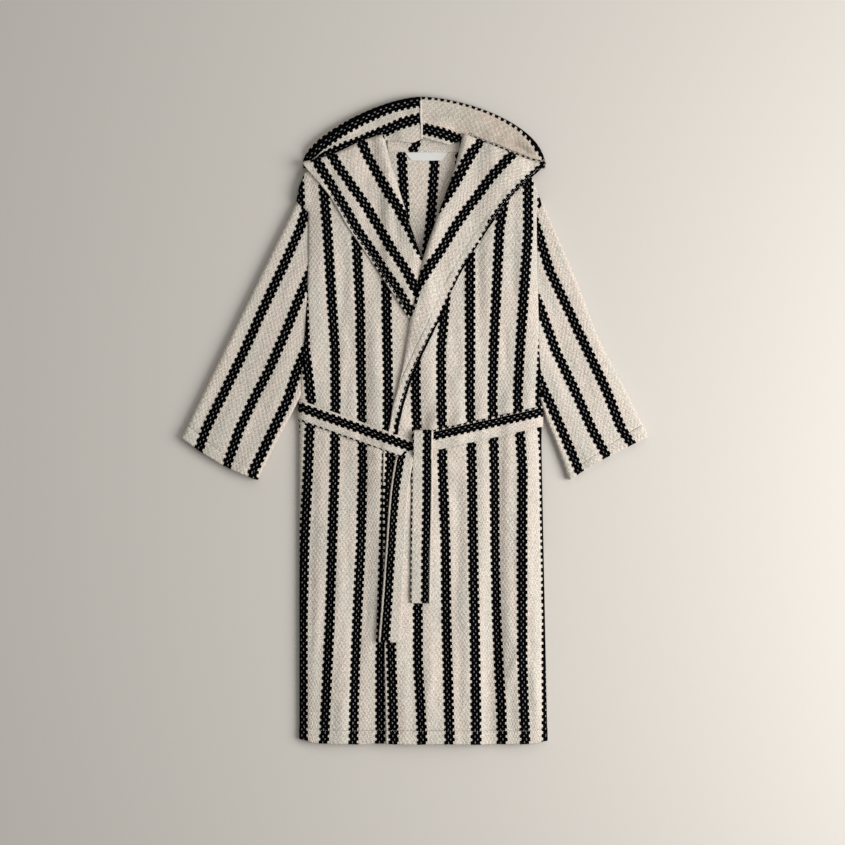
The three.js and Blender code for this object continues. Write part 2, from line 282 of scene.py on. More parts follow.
def turn_out(mesh):
    """Makes the faces point outwards."""
    b = bmesh.new()
    b.from_mesh(mesh)
    bmesh.ops.recalc_face_normals(b, faces=b.faces)
    b.to_mesh(mesh)
    b.free()


def sew(piece, *lines, stitch=3.4, pitch=5.2, wide=0.62, high=0.45):
    """Adds a row of thread stitches along each line of points to a piece's own mesh."""
    piece.data.materials.append(thread)
    b = bmesh.new()
    b.from_mesh(piece.data)
    for line in lines:
        line = np.array(line, float)
        s = distances(line)
        at = lambda q: np.array([np.interp(q, s, line[:, i]) for i in range(3)])
        for start in np.arange(1.5, s[-1] - stitch - 1, pitch):
            ends = [at(start + stitch * share) for share in (0, 0.25, 0.75, 1)]
            way = unit(ends[3] - ends[0])
            side = unit(np.cross(way, (0, 0, 1))) * wide / 2
            up = np.array([0, 0, high / 2])
            rings = [[c + side, c + up, c - side, c - up] for c in (ends[1] + up, ends[2] + up)]
            points = [ends[0] - up, *rings[0], *rings[1], ends[3] - up]
            v = [b.verts.new(tuple(p / 1000)) for p in points]
            faces = []
            for i in range(4):
                j = (i + 1) % 4
                faces += [(v[0], v[1 + j], v[1 + i]), (v[1 + i], v[1 + j], v[5 + j], v[5 + i]),
                          (v[9], v[5 + i], v[5 + j])]
            for f in faces:
                face = b.faces.new(f)
                face.material_index = 1
                face.smooth = True
    b.normal_update()
    b.to_mesh(piece.data)
    b.free()


def turn_with_hood(piece):
    """Bakes a piece's transform into its mesh; nothing is bent towards the hood."""
    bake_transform(piece)


# ---- The weave ----


def across(x, y, lines):
    """Place across the cloth in mm, 0 at the middle of the first stripe, for stripes that lie on
    lines, each a list of (y, x), from -X to +X."""
    x, y = np.asarray(x, float), np.asarray(y, float)
    at, tilt = [], []
    for line in lines:
        ys, xs = np.array(sorted(line), float).T
        low, high = (xs[1] - xs[0]) / (ys[1] - ys[0]), (xs[-1] - xs[-2]) / (ys[-1] - ys[-2])
        here = np.interp(y, ys, xs)
        here = here + np.where(y < ys[0], (y - ys[0]) * low, 0)
        here = here + np.where(y > ys[-1], (y - ys[-1]) * high, 0)
        slope = (np.interp(y + 20, ys, xs) - np.interp(y - 20, ys, xs)) / 40
        at.append(here)
        tilt.append(1 / np.sqrt(1 + slope ** 2))
    out = (x - at[0]) * tilt[0]
    for k in range(len(at) - 1):
        gap = np.maximum((at[k + 1] - at[k]) * (tilt[k] + tilt[k + 1]) / 2, 30.0)
        d = (x - at[k]) * (tilt[k] + tilt[k + 1]) / 2
        hold = STRIPE_HOLD
        middle = hold + (d - hold) * (PITCH - 2 * hold) / (gap - 2 * hold)
        here = np.where(d < hold, d, np.where(d > gap - hold, d - gap + PITCH, middle))
        out = np.where(x > at[k], k * PITCH + here, out)
    last = len(at) - 1
    beyond = last * PITCH + (x - at[last]) * tilt[last]
    return np.where(x > at[last], beyond, out)


STRIPES_RIGHT_FRONT = [
    [(231, -233), (147, -230), (42, -218.6), (-105, -224.5), (-252, -232), (-420, -236),
     (-661, -235)],
    [(472, -190.3), (399, -183.8), (273, -176.4), (147, -168), (42, -167), (-105, -169),
     (-252, -173.5), (-420, -178.7), (-588, -186.7), (-661, -190.3)],
    [(357, -121.8), (231, -114.9), (42, -112.1), (-105, -109.2), (-252, -113.4),
     (-420, -121.8), (-588, -128.1), (-661, -129.2)],
    [(273, -59.9), (147, -58), (42, -56.9), (-105, -60), (-504, -72.7), (-661, -72.5)],
    [(273, -3), (42, 0), (-661, -16)],
]
STRIPES_LEFT_FRONT = [
    [(231, -54), (84, -54), (-21, -52), (-105, -52.5), (-168, -56.7), (-504, -49.1),
     (-661, -44.7)],
    [(231, 2), (42, 2), (-21, 4), (-105, 3), (-420, 6.1), (-504, 6.3),
     (-588, 11.5), (-661, 14.7)],
    [(231, 62), (147, 54.6), (42, 55.4), (-105, 57.8), (-252, 63.8), (-420, 65.9),
     (-661, 72.5)],
    [(315, 115.5), (42, 115.5), (-105, 119.5), (-252, 121.8), (-420, 124.7), (-661, 128.1)],
    [(441, 183.8), (399, 177.2), (273, 171.2), (147, 164.9), (42, 162.5), (-105, 167),
     (-252, 168), (-420, 172), (-588, 180.6), (-661, 182.7)],
    [(504, 236.5), (399, 237.3), (273, 228.9), (147, 220.5), (42, 215.5), (-105, 225.8),
     (-252, 224.7), (-504, 224.7), (-661, 231)],
    [(508, 292), (474, 269), (461, 265), (446, 267), (436, 274), (300, 277), (147, 268),
     (42, 262), (-60, 270), (-168, 272), (-336, 275), (-420, 276), (-661, 276)],
]
STRIPES_BACK = [
    *[[(504, x), (-661, x)] for x in (-193, -137, -81)],
    [(504, -25.2), (441, -21.8), (330, -25), (-661, -25)],
    [(504, 38.9), (441, 34.7), (399, 30.7), (357, 25), (-661, 31)],
    *[[(504, x), (-661, x - 8)] for x in (95, 151, 207, 263)],
]
LAPEL_ROWS = (585, 540, 504, 472, 441, 399, 357, 315, 273, 231)
STRIPES_RIGHT_LAPEL = [
    list(zip(LAPEL_ROWS, (-236, -204, -182.1, -163.4, -144.7, -120.8, -91.4, -65.1, -35.5, -11.3))),
    list(zip(LAPEL_ROWS, (-192, -166, -141.5, -118.7, -97.7, -71.8, -48.1, -19.1, 2.1, 24))),
    [(600, -119), (560, -102), (504, -71.2), (472, -52.7), (441, -33.6), (399, -10.5),
     (357, 10), (315, 36)],
]
STRIPES_LEFT_LAPEL = [
    [(231, -68), (315, -32), (399, 16), (472, 68), (504, 88), (525, 99), (546, 110), (567, 123),
     (590, 143)],
    [(55, -88), (147, -50), (231, -11.3), (273, 2.1), (315, 26.5), (357, 54.6), (399, 80),
     (441, 108.2), (472, 132), (504, 155), (525, 173), (546, 193), (558, 205), (580, 226)],
    [(-30, -35), (-10, -32.5), (5, -28.5), (29, -23), (55, -15.5), (82, -6), (105, 3.5),
     (148, 24.5), (177, 38.5), (205, 53), (231, 65.5), (273, 84.5),
     (315, 104), (357, 131), (380, 147.5), (399, 157.5),
     (422, 168), (456, 193), (483, 217), (516, 250), (530, 268), (560, 300)],
]
STRIPES_RIGHT_SLEEVE = [
    [(441, -230), (399, -242.8), (315, -280.6), (231, -320), (147, -358), (63, -398.8),
     (-21, -440.2), (-61, -453.6)],
    [(357, -200), (273, -236.3), (189, -270), (105, -306.6), (42, -340), (-21, -369.8),
     (-94, -394.8)],
    [(189, -212), (105, -247.6), (42, -267.5), (-21, -298.4), (-105, -339.4), (-121, -342.3)],
]
STRIPES_LEFT_SLEEVE = [
    [(147, 235), (63, 269.9), (42, 281.4), (-21, 308.5), (-105, 344.4), (-124, 352)],
    [(315, 230), (231, 264.6), (147, 295), (63, 335.8), (-21, 372.5), (-76, 402.6)],
    [(441, 243), (399, 257.3), (315, 282.7), (231, 322.6), (147, 362), (63, 401.9),
     (-21, 434.7), (-50, 454.7)],
]


# ---- How the cloth lies ----


def belt_line(x):
    """The belt's middle over the front."""
    return np.interp(x, [BELT_SIDE_R[0], KNOT[0], KNOT[0] + 0.1, BELT_SIDE_L[0]],
                     [BELT_SIDE_R[1], BELT_AT_KNOT_R, BELT_AT_KNOT_L, BELT_SIDE_L[1]])


CREASES = [
    ((240, -505), (268, -645), 10, 6.0), ((-160, -290), (-174, -520), 11, 4.4),
    ((-205, -250), (-214, -600), 10, 3.6), ((-140, -480), (-150, -660), 9, 3.2),
    ((70, -420), (84, -640), 10, 2.6), ((196, -560), (236, -440), 8, 3.0),
    ((-150, 190), (-160, 20), 12, 3.0), ((-88, -330), (-108, -560), 10, 3.0),
    ((198, -420), (216, -600), 12, 3.0), ((35, -480), (22, -650), 10, 2.6),
    ((100, 60), (96, -20), 9, 2.6), ((140, 180), (150, 20), 12, 2.4),
    ((150, -80), (160, -280), 11, 2.6), ((96, -330), (110, -560), 11, 2.6),
]


def creases(x, y, lines):
    """Long single folds, each from one point to another, of a width and height."""
    z = 0.0 * x
    for a, b, width, height in lines:
        a, b = np.array(a, float), np.array(b, float)
        way = (b - a) / np.linalg.norm(b - a)
        t = ((x - a[0]) * way[0] + (y - a[1]) * way[1]) / np.linalg.norm(b - a)
        d = (x - a[0]) * way[1] - (y - a[1]) * way[0]
        z = z + height * gauss(d + 3 * np.sin(5 * t), width) * gauss(t - 0.5, 0.45)
    return z


def folds(x, y):
    """Height of the body's soft folds, for all its layers."""
    sway = 0.35 * noise(x / 150 + 3, y / 300, 11)
    long_folds = 3.0 * noise(x / 40 + sway + 7, y / 460 + 2, 1)
    small = 1.1 * noise(x / 17 + 2 * sway, y / 150, 2)
    lumps = 1.3 * noise(x / 75, y / 85, 3) + 0.35 * noise(x / 9, y / 11, 4)
    d = y - belt_line(x)
    reach = np.hypot(x - KNOT[0], (y - KNOT[1]) * 0.8)
    angle = np.arctan2(x - KNOT[0], y - KNOT[1])
    rays = 2.4 * gauss(reach, 130) * smooth(reach, 20, 60) * np.cos(11 * angle + 0.6)
    gather = noise(x / 26, 0.3 + 0 * y, 5)
    swell = (2.6 + 2.8 * gather) * (gauss(d - 36, 14) + gauss(d + 36, 14))
    press = -2.6 * gauss(d, 17)
    return 2.0 * (long_folds + small + lumps) * (1 - 0.6 * gauss(d, 22)) + rays + swell + press \
        + creases(x, y, CREASES)


def drop(distance, reach, depth):
    """How far cloth has bent down at a distance from an edge that it turns down at."""
    t = np.clip(1 - distance / reach, 0, 1)
    return depth * (1 - np.sqrt(np.maximum(1 - t * t, 0)))


def side_slope(distance, y, reach, depth):
    """A side that slopes down gently towards its seam, more so at the hem, and rounds over there.
    Above the underarm it only rounds over."""
    skirt = 1 - smooth(y, *UNDERARM)
    gentle = (6.5 + 2.5 * smooth(-y, 450, 660)) * skirt
    return gentle * (1 - smooth(distance, -25, reach)) + drop(distance, 19, depth - 0.8 * gentle)


def side_distance(x, y):
    """Distance in X to the body's right and left sides."""
    right, left = np.array(SIDE_LINE_R, float), np.array(SIDE_LINE_L, float)
    return x - np.interp(y, right[:, 1], right[:, 0]), np.interp(y, left[:, 1], left[:, 0]) - x


def hem_shape(d):
    """(extra thickness, dip) of a hem at a distance from its edge."""
    return 1.1 * (1 - smooth(d, HEM - 2, HEM + 1)), 1.7 * gauss(d - HEM, 1.7)


def hem_rise(x):
    """How far the hem lifts towards the side seams."""
    return 9.0 * gauss(x - SIDE_R, 24) + 5.0 * gauss(x - CORNER_L, 20) + 1.2 * noise(x / 38, 0 * x, 91)


FRONT_EDGE = rounded([
    (EDGE_FOOT, HEM_Y), (-65, -277), (-65, -100), (-63, -61), (-53, -21), (-49, 0),
    (-44.5, 28), (-39.5, 47), (-31.5, 79), (-25, 105), (-18.5, 144), (-12.6, 180.6),
    (-9.2, 210)])
ROLL_L = rounded([(-9.2, 210), (0, 246), (16.8, 332), (52.5, 437), (72, 491), (87, 536),
                  (96, 572), (103, 601)])
ROLL_R = rounded([(22, 312), (15.5, 332), (-14.7, 418), (-45, 516), (-52, 535), (-60, 568),
                  (-67, 598.5)])
ARMHOLE_R = rounded([(SIDE_R, 52), (-229.5, 180), (-222.5, 330), (-222, 437)])
ARMHOLE_L = rounded([(SIDE_L, 46), (259, 180), (255, 330), (253.5, 440)])
SHOULDER_R, SHOULDER_L = (-231, 518), (244, 508)
SIDE_LINE_R = [(SIDE_R, HEM_Y), *ARMHOLE_R, (-234, 447), (-247.5, 460), (-242, 490), SHOULDER_R]
SIDE_LINE_L = [(CORNER_L, HEM_Y), (SIDE_L, -60), *ARMHOLE_L, (259, 445), (265, 452), (258, 474),
               SHOULDER_L]
NECK_R, NECK_L = (-63, 565), (101, 565)


def wrap_rise(x):
    """How far the left front has climbed over the right one."""
    return LAYER * (1 - smooth(x, 26, 66))


def right_front_z(x, y):
    to_side, _ = side_distance(x, y)
    under = smooth(x, -95, -50) * (1 - smooth(y, 200, 260))
    depth = SIDE_DEPTH - 8.5 * smooth(y, *UNDERARM)
    return (FRONT_MID + folds(x, y) * smooth(to_side, 0, 30) - 0.6 * under
            - side_slope(to_side, y, 90, depth))


def left_front_z(x, y):
    _, to_side = side_distance(x, y)
    depth = SIDE_DEPTH - 9.0 * smooth(y, *UNDERARM)
    return (FRONT_MID + folds(x, y) * smooth(to_side, 0, 30) + wrap_rise(x)
            - side_slope(to_side, y, 60, depth))


def front_top(x, y):
    """Top of the cloth under the belt."""
    edge = np.interp(y, FRONT_EDGE[:, 1], FRONT_EDGE[:, 0])
    over = smooth(x, edge - 16, edge + 2)
    right, left = right_front_z(x, y), left_front_z(x, y)
    return np.where(x < SIDE_R + 60, right, right * (1 - over) + left * over) + CLOTH / 2


# ---- Materials ----


class Nodes:
    """Short ways to add shader nodes to a material."""

    def __init__(self, name):
        self.material = bpy.data.materials.new(name)
        self.material.use_nodes = True
        self.tree = self.material.node_tree
        self.shader = self.tree.nodes["Principled BSDF"]

    def add(self, kind, **values):
        node = self.tree.nodes.new(kind)
        for key, value in values.items():
            setattr(node, key, value)
        return node

    def put(self, value, socket):
        if isinstance(value, bpy.types.NodeSocket):
            self.tree.links.new(value, socket)
        else:
            socket.default_value = value

    def feed(self, node, **values):
        for key, value in values.items():
            self.put(value, node.inputs[key])
        return node.outputs[0]

    def math(self, operation, *values):
        node = self.add("ShaderNodeMath", operation=operation)
        for value, socket in zip(values, node.inputs):
            self.put(value, socket)
        return node.outputs[0]

    def step(self, value, low, high, start=0.0, end=1.0):
        node = self.add("ShaderNodeMapRange", interpolation_type="SMOOTHSTEP")
        for v, key in zip((value, low, high, start, end),
                          ("Value", "From Min", "From Max", "To Min", "To Max")):
            self.put(v, node.inputs[key])
        return node.outputs["Result"]

    def mix(self, share, a, b):
        node = self.add("ShaderNodeMix", data_type="RGBA")
        self.put(share, node.inputs[0])
        self.put(a, node.inputs[6])
        self.put(b, node.inputs[7])
        return node.outputs[2]

    def noise(self, vector, scale, detail=2.0, rough=0.5):
        node = self.add("ShaderNodeTexNoise")
        return self.feed(node, Vector=vector, Scale=scale, Detail=detail, Roughness=rough)

    def bump(self, height, strength, distance):
        node = self.add("ShaderNodeBump")
        bumped = self.feed(node, Strength=strength, Distance=distance, Height=height)
        self.put(bumped, self.shader.inputs["Normal"])


BRIGHT = (0.91, 0.86, 0.795, 1)
LIGHT = (0.835, 0.77, 0.695, 1)
WARM = (0.79, 0.68, 0.60, 1)
COOL = (0.665, 0.645, 0.57, 1)
SHADE = (0.34, 0.31, 0.265, 1)
BLACK = (0.0004, 0.0004, 0.0007, 1)
DARK = (0.0035, 0.0035, 0.005, 1)
SPECK = (0.38, 0.37, 0.36, 1)
PAINTED_SHADE_TAN = (0.36, 0.25, 0.17, 1)


def terry(name, grain_height=0.0013, painted_shade_span=None):
    """Bulky cotton weave: columns of grains, half a step apart, with black stripes. The last argument
    gives two places in X between which the ground is painted browner: painted shade, not a colour of the
    yarn."""
    n = Nodes(name)
    uv = n.add("ShaderNodeUVMap", uv_map="weave").outputs[0]
    place = n.add("ShaderNodeTexCoord").outputs["Object"]
    split = n.add("ShaderNodeSeparateXYZ")
    n.put(uv, split.inputs[0])
    wobble_u = n.math("MULTIPLY", n.math("SUBTRACT", n.noise(uv, 90.0), 0.5), 2.4)
    wobble_v = n.math("MULTIPLY", n.math("SUBTRACT", n.noise(uv, 70.0, 1.0), 0.5), 5.0)
    u = n.math("ADD", n.math("MULTIPLY", split.outputs[0], 1000.0), wobble_u)
    v = n.math("ADD", n.math("MULTIPLY", split.outputs[1], 1000.0), wobble_v)
    d = n.math("WRAP", u, PITCH / 2, -PITCH / 2)
    size = n.math("ABSOLUTE", d)
    columns = n.math("SINE", n.math("MULTIPLY", u, math.pi / COLUMN))
    steps = n.math("COSINE", n.math("MULTIPLY", v, 2 * math.pi / GRAIN))
    grain = n.math("MULTIPLY", columns, steps)

    wave = n.math("MULTIPLY", n.math("SIGN", d), steps)
    reach = n.step(wave, -0.55, 0.05, 2 * COLUMN - 0.3, 2 * COLUMN + 3.1)
    black = n.step(n.math("SUBTRACT", reach, size), -0.3, 0.3)
    speck_column = n.math("MULTIPLY", n.step(size, 1.2, 1.8), n.step(size, 3.2, 2.6))
    speck = n.math("MULTIPLY", speck_column, n.step(grain, 0.45, 0.8))
    fibre = n.noise(place, 900.0, 3.0, 0.6)
    mottle = n.noise(place, 560.0, 1.5, 0.5)
    knots = n.noise(place, 210.0, 2.0, 0.55)
    stretched = n.add("ShaderNodeVectorMath", operation="MULTIPLY")
    n.put(uv, stretched.inputs[0])
    stretched.inputs[1].default_value = (1.0, 0.16, 1.0)
    # Long warm and cool bands along the cloth: random tone that also stands in for the lit and shaded
    # sides of soft folds, so partly painted light and shade.
    band = n.noise(stretched.outputs[0], 42.0, 1.5)

    up = n.step(grain, -0.9, 0.7)
    tone = n.mix(n.step(band, 0.40, 0.60), COOL, WARM)
    tone = n.mix(n.step(knots, 0.35, 0.65, 0.0, 0.7), tone, LIGHT)
    # Cream just beside the black teeth is painted brighter: a painted highlight along the stripes'
    # edges.
    teeth_highlight = n.step(n.math("SUBTRACT", size, reach), 2.2, 0.2, 0.0, 0.5)
    tone = n.mix(teeth_highlight, tone, BRIGHT)
    # Grain hollows and the low parts of the mottle are mixed toward SHADE: painted shade in the weave's
    # recesses. The fibre noise adds random darker specks.
    cream = n.mix(n.step(up, 0.0, 1.0, 0.24, 0.0), tone, SHADE)
    cream = n.mix(n.step(mottle, 0.44, 0.62, 0.0, 0.72), cream, SHADE)
    cream = n.mix(n.step(fibre, 0.45, 0.75, 0.0, 0.25), cream, SHADE)
    # Painted shade: over a span in X the ground is mixed toward a brown, standing in for the shade that
    # part lies in.
    if painted_shade_span:
        along_x = n.add("ShaderNodeSeparateXYZ")
        n.put(place, along_x.inputs[0])
        share = n.math("MULTIPLY", n.step(along_x.outputs[0], *painted_shade_span, 0.12, 0.42),
                       n.step(knots, 0.25, 0.6, 0.35, 1.0))
        cream = n.mix(share, cream, PAINTED_SHADE_TAN)
    # Black grains are a touch lighter where they stand up and the fibre noise is high: a faint painted
    # highlight on the grain tops.
    dark = n.mix(n.math("MULTIPLY", up, n.step(fibre, 0.4, 0.7)), BLACK, DARK)
    dark = n.mix(n.math("MULTIPLY", speck, n.step(knots, 0.3, 0.6, 0.25, 0.9)), dark, SPECK)
    n.put(n.mix(black, cream, dark), n.shader.inputs["Base Color"])

    relief = n.math("MULTIPLY", n.step(grain, -0.8, 1.0), n.step(black, 0.0, 1.0, 0.4, 1.0))
    relief = n.math("ADD", relief, n.math("MULTIPLY", fibre, 0.3))
    relief = n.math("ADD", relief, n.math("MULTIPLY", mottle, -0.9))
    relief = n.math("ADD", relief, n.math("MULTIPLY", knots, 0.7))
    n.bump(relief, 1.0, grain_height)
    n.put(n.step(fibre, 0.3, 0.7, 0.9, 1.0), n.shader.inputs["Roughness"])
    n.put(0.02, n.shader.inputs["Specular IOR Level"])
    n.put(0.004, n.shader.inputs["Sheen Weight"])
    n.put(0.6, n.shader.inputs["Sheen Roughness"])
    return n.material


def woven(name, light, dark, scale, roughness, specular):
    """A plain, finely mottled surface: satin, thread or the floor."""
    n = Nodes(name)
    place = n.add("ShaderNodeTexCoord").outputs["Object"]
    fine = n.noise(place, scale, 3.0, 0.6)
    n.put(n.mix(fine, dark, light), n.shader.inputs["Base Color"])
    n.bump(fine, 0.5, 0.0003)
    n.put(n.step(fine, 0.2, 0.8, roughness - 0.05, roughness + 0.05),
          n.shader.inputs["Roughness"])
    n.put(specular, n.shader.inputs["Specular IOR Level"])
    return n.material


terry_cloth = terry("striped_terry")
belt_cloth = terry("belt_terry", 0.0011)
# The left hood half's ground is painted browner towards its outer corner: painted shade.
hood_cloth_painted_shade = terry("hood_terry_painted_shade", painted_shade_span=(0.02, 0.22))
satin = woven("label_satin", (0.72, 0.715, 0.70, 1), (0.64, 0.635, 0.62, 1), 1500.0, 0.42, 0.4)
thread = woven("cotton_thread", (0.80, 0.75, 0.69, 1), (0.58, 0.54, 0.48, 1), 2500.0, 0.8, 0.2)

# ---- Strips ----


def ribbon(name, path, width_dir, width, thickness, material, place=None, puff=0.0):
    """A strip along a path of points. place gives the weave's place from (width, share of path)."""
    path = np.array(path, float)
    s = distances(path)
    width = np.broadcast_to(np.asarray(width, float), len(path))
    most = width.max()
    w = spread(most, max(most / 12, 0.8), fine=(most * 0.02, most * 0.06))
    wide = np.broadcast_to(np.array(width_dir, float), path.shape)
    mid = path[:, None] + wide[:, None] * ((w - 0.5)[None, :] * width[:, None])[..., None]
    flat_w = w[None, :] * width[:, None]
    across_u = flat_w - most / 2 if place is None else place(flat_w, (s / s[-1])[:, None])
    weave = np.stack(np.broadcast_arrays(across_u, s[:, None]), -1)
    swollen = thickness + puff * np.sin(np.pi * w)[None, :]
    piece = cloth(name, mid, weave, swollen, material)
    return piece, mid, s[-1]


def belt_loop(node, x):
    """A thin loop of cloth round the belt at the back."""
    low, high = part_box(node)
    low, high = np.array(low) * 1000, np.array(high) * 1000
    profile = rounded([(low[1] + 0.7, high[2]), (low[1] + 0.7, low[2] + 3), (low[1] + 3, low[2] + 0.8),
                       (high[1] - 3, low[2] + 0.8), (high[1] - 0.7, low[2] + 3),
                       (high[1] - 0.7, high[2])], 6)
    path = [(x, y, z) for y, z in profile]
    piece, _, _ = ribbon(node + "_cloth", path, (1, 0, 0), 8, 1.3, thread)
    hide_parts(node)
    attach(piece, "robe")
    return piece


belt_loops = [belt_loop("right_belt_loop", -228.5), belt_loop("left_belt_loop", 251.5)]

# ---- Body ----


def body_panel(name, node, lines, left, right, bottom, top, height, step=4.6,
               stitched=""):
    """A panel of the body. stitched is "hem", or "edge" for the hem and the wrapped edge."""
    left, right = np.array(left, float), np.array(right, float)
    width = max(abs(right[:, 0].max() - left[:, 0].min()), 60)
    length = max(left[:, 1].max(), right[:, 1].max()) - HEM_Y
    us, vs = spread(width, step), spread(length, step, edges=(HEM,))
    u, v = np.meshgrid(us, vs)
    xy = patch(bottom, top, left, right, u, v, at_height)
    x, y = xy[..., 0], xy[..., 1]
    extra, dip = hem_shape(y - HEM_Y)
    y = y + hem_rise(x) * (1 - smooth(y - HEM_Y, 0, 90))
    mid = np.stack([x, y, height(x, y) - dip], -1)
    weave = np.stack([across(x, y, lines), y], -1)
    piece = cloth(name, mid, weave, CLOTH + extra, terry_cloth)
    if stitched:
        hem_x = np.linspace(bottom[0][0] + 6, bottom[1][0] - 6, 160)
        rows = [(hem_x, HEM_Y + HEM + 0.8 * hem_rise(hem_x))]
        if stitched == "edge":
            edge = along(FRONT_EDGE, np.linspace(0.02, 0.97, 260))
            rows.append((edge[:, 0] + 9, edge[:, 1]))
        sew(piece, *[np.column_stack([a, c, height(a, c) + CLOTH / 2 - 0.8]) for a, c in rows])
    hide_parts(node)
    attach(piece, "robe")


body_panel(
    "right_front", "right_front_panel", STRIPES_RIGHT_FRONT, SIDE_LINE_R,
    [(HIDDEN_EDGE, HEM_Y), (HIDDEN_EDGE, 270), (24, 312), *(ROLL_R[1:-12] - (5, 0)), NECK_R],
    [(SIDE_R, HEM_Y), (HIDDEN_EDGE, HEM_Y)], [SHOULDER_R, NECK_R], right_front_z, stitched="hem")

body_panel(
    "left_front", "left_front_panel", STRIPES_LEFT_FRONT,
    [*FRONT_EDGE, *[(x + 5 * min(1, (y - 205) / 60), y) for x, y in ROLL_L[1:-18]], NECK_L],
    SIDE_LINE_L, [(EDGE_FOOT, HEM_Y), (CORNER_L, HEM_Y)], [NECK_L, SHOULDER_L], left_front_z,
    stitched="edge")


def back_z(x, y):
    to_r, to_l = side_distance(x, y)
    edge = np.minimum(to_r, to_l)
    over_belt = smooth(y, -36, -22) - smooth(y, 50, 64)
    turn_up = drop(edge, 12, 2.6) * (1 - smooth(y, *UNDERARM))
    lift = 0.8 * np.maximum(noise(x / 45, y / 120, 31), 0)
    return BACK_MID + over_belt * 6.9 + turn_up * (1 - over_belt) + lift


body_panel(
    "back", "back_panel", STRIPES_BACK, SIDE_LINE_R, SIDE_LINE_L,
    [(SIDE_R, HEM_Y), (CORNER_L, HEM_Y)],
    [SHOULDER_R, NECK_R, NECK_L, SHOULDER_L], back_z, step=5.5)

# ---- Sleeves ----

SLEEVE_TOP, SLEEVE_LOW = 15.4, 2.2


def sleeve(side, node, lines, outer, cuff, inner, armhole, body):
    """A flat tube from the armhole to the cuff."""
    length = np.hypot(*(np.array(cuff[0], float) - outer[0]))
    rise = (SLEEVE_TOP - SLEEVE_LOW) / 2
    turn = np.radians([12, 32, 52, 72, 90])
    vs = spread(length, 4.4, edges=(length - HEM,))
    rows_mid, rows_weave, rows_thick = [], [], []
    axis = unit(np.array(cuff[1], float) - outer[1])
    for v in vs:
        ends = patch(armhole, cuff, outer, inner, np.array([0.0, 1.0]), np.array([v, v]))
        width = np.hypot(*(ends[1] - ends[0]))
        edge = rise * (1 - np.cos(turn))
        top = np.linspace(edge[-1], width - edge[-1], 62)[1:-1]
        d = np.concatenate([edge, top, width - edge[::-1]])
        z = np.concatenate([np.sin(turn), np.ones(60), np.sin(turn[::-1])])
        d_all = np.concatenate([d, d[::-1]])
        z_all = np.concatenate([z, -z[::-1]])
        share = d_all / width
        xy = patch(armhole, cuff, outer, inner, share, np.full_like(share, v))
        x, y = xy.T
        from_cuff = (1 - v) * length
        extra, dip = hem_shape(from_cuff)
        swell = side_folds(side, x, y, axis) * smooth(np.minimum(d_all, width - d_all), 0, 26)
        up = z_all > 0
        join = -1.5 * (1 - smooth(v * length, 0, 16))
        zz = SLEEVE_LOW + rise + rise * z_all + np.where(up, swell - dip + join, dip * 0.3)
        rows_mid.append(np.stack([x, y, zz], -1))
        place_v = x * axis[0] + y * axis[1]
        rows_weave.append(np.stack([across(x, y, lines), place_v], -1))
        rows_thick.append(np.full_like(x, CLOTH + extra))
    mid = np.array(rows_mid)
    piece = cloth(body.replace("arm", "sleeve_cloth"), mid, np.array(rows_weave),
                  np.array(rows_thick), terry_cloth, round_u=True)
    hem_row = mid[np.argmin(abs((1 - vs) * length - HEM)), 6:64]
    sew(piece, hem_row + (0, 0, CLOTH / 2 + 0.2))
    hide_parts(node)
    low, high = np.array(armhole[0], float), np.array(armhole[-1], float)
    along_hole = unit(high - low)
    outward = np.array([along_hole[1], -along_hole[0]])
    if outward[0] * side < 0:
        outward = -outward
    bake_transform(piece)


def side_folds(side, x, y, axis):
    """Soft folds along a sleeve."""
    s, t = x * axis[0] + y * axis[1], x * axis[1] - y * axis[0]
    large = 3.2 * noise(t / 34 + 4 * side, s / 260, 21) + 1.8 * noise(t / 70, s / 60, 22)
    small = 1.1 * noise(t / 15, s / 80, 23) + 0.4 * noise(t / 9, s / 11, 24)
    return large + small


TOP_R, CUFF_OUT_R, CUFF_IN_R = (-247.8, 458), (-489.1, -36), (-332, -124)
TOP_L, CUFF_OUT_L, CUFF_IN_L = (264.6, 462), (489.1, -34), (325.5, -124)
sleeve(
    -1, "right_sleeve", STRIPES_RIGHT_SLEEVE,
    rounded([TOP_R, (-262.5, 428), (-318, 316), (-405, 138), CUFF_OUT_R]),
    rounded([CUFF_OUT_R, (-449, -65), (-393, -98), CUFF_IN_R]),
    rounded([(SIDE_R, 52), (-262, 12), (-296, -52), CUFF_IN_R]),
    [TOP_R, (-232, 447), *ARMHOLE_R[::-1]], "right_arm")
sleeve(
    1, "left_sleeve", STRIPES_LEFT_SLEEVE,
    rounded([TOP_L, (296, 392), (340, 288), (386.4, 170), (440, 66), CUFF_OUT_L]),
    rounded([CUFF_OUT_L, (455, -50), (403, -76), (353, -105), CUFF_IN_L]),
    rounded([(SIDE_L, 46), (276, 8), (300, -54), CUFF_IN_L]),
    [TOP_L, (261, 451), *ARMHOLE_L[::-1]], "left_arm")

# ---- Lapels ----

FOLD_R = rounded([(-235, 540), (-174, 556), (-111, 585), (-67, 598.5)])
FOLD_L = rounded([(103, 601), (152, 580), (232, 548), (273, 540)])


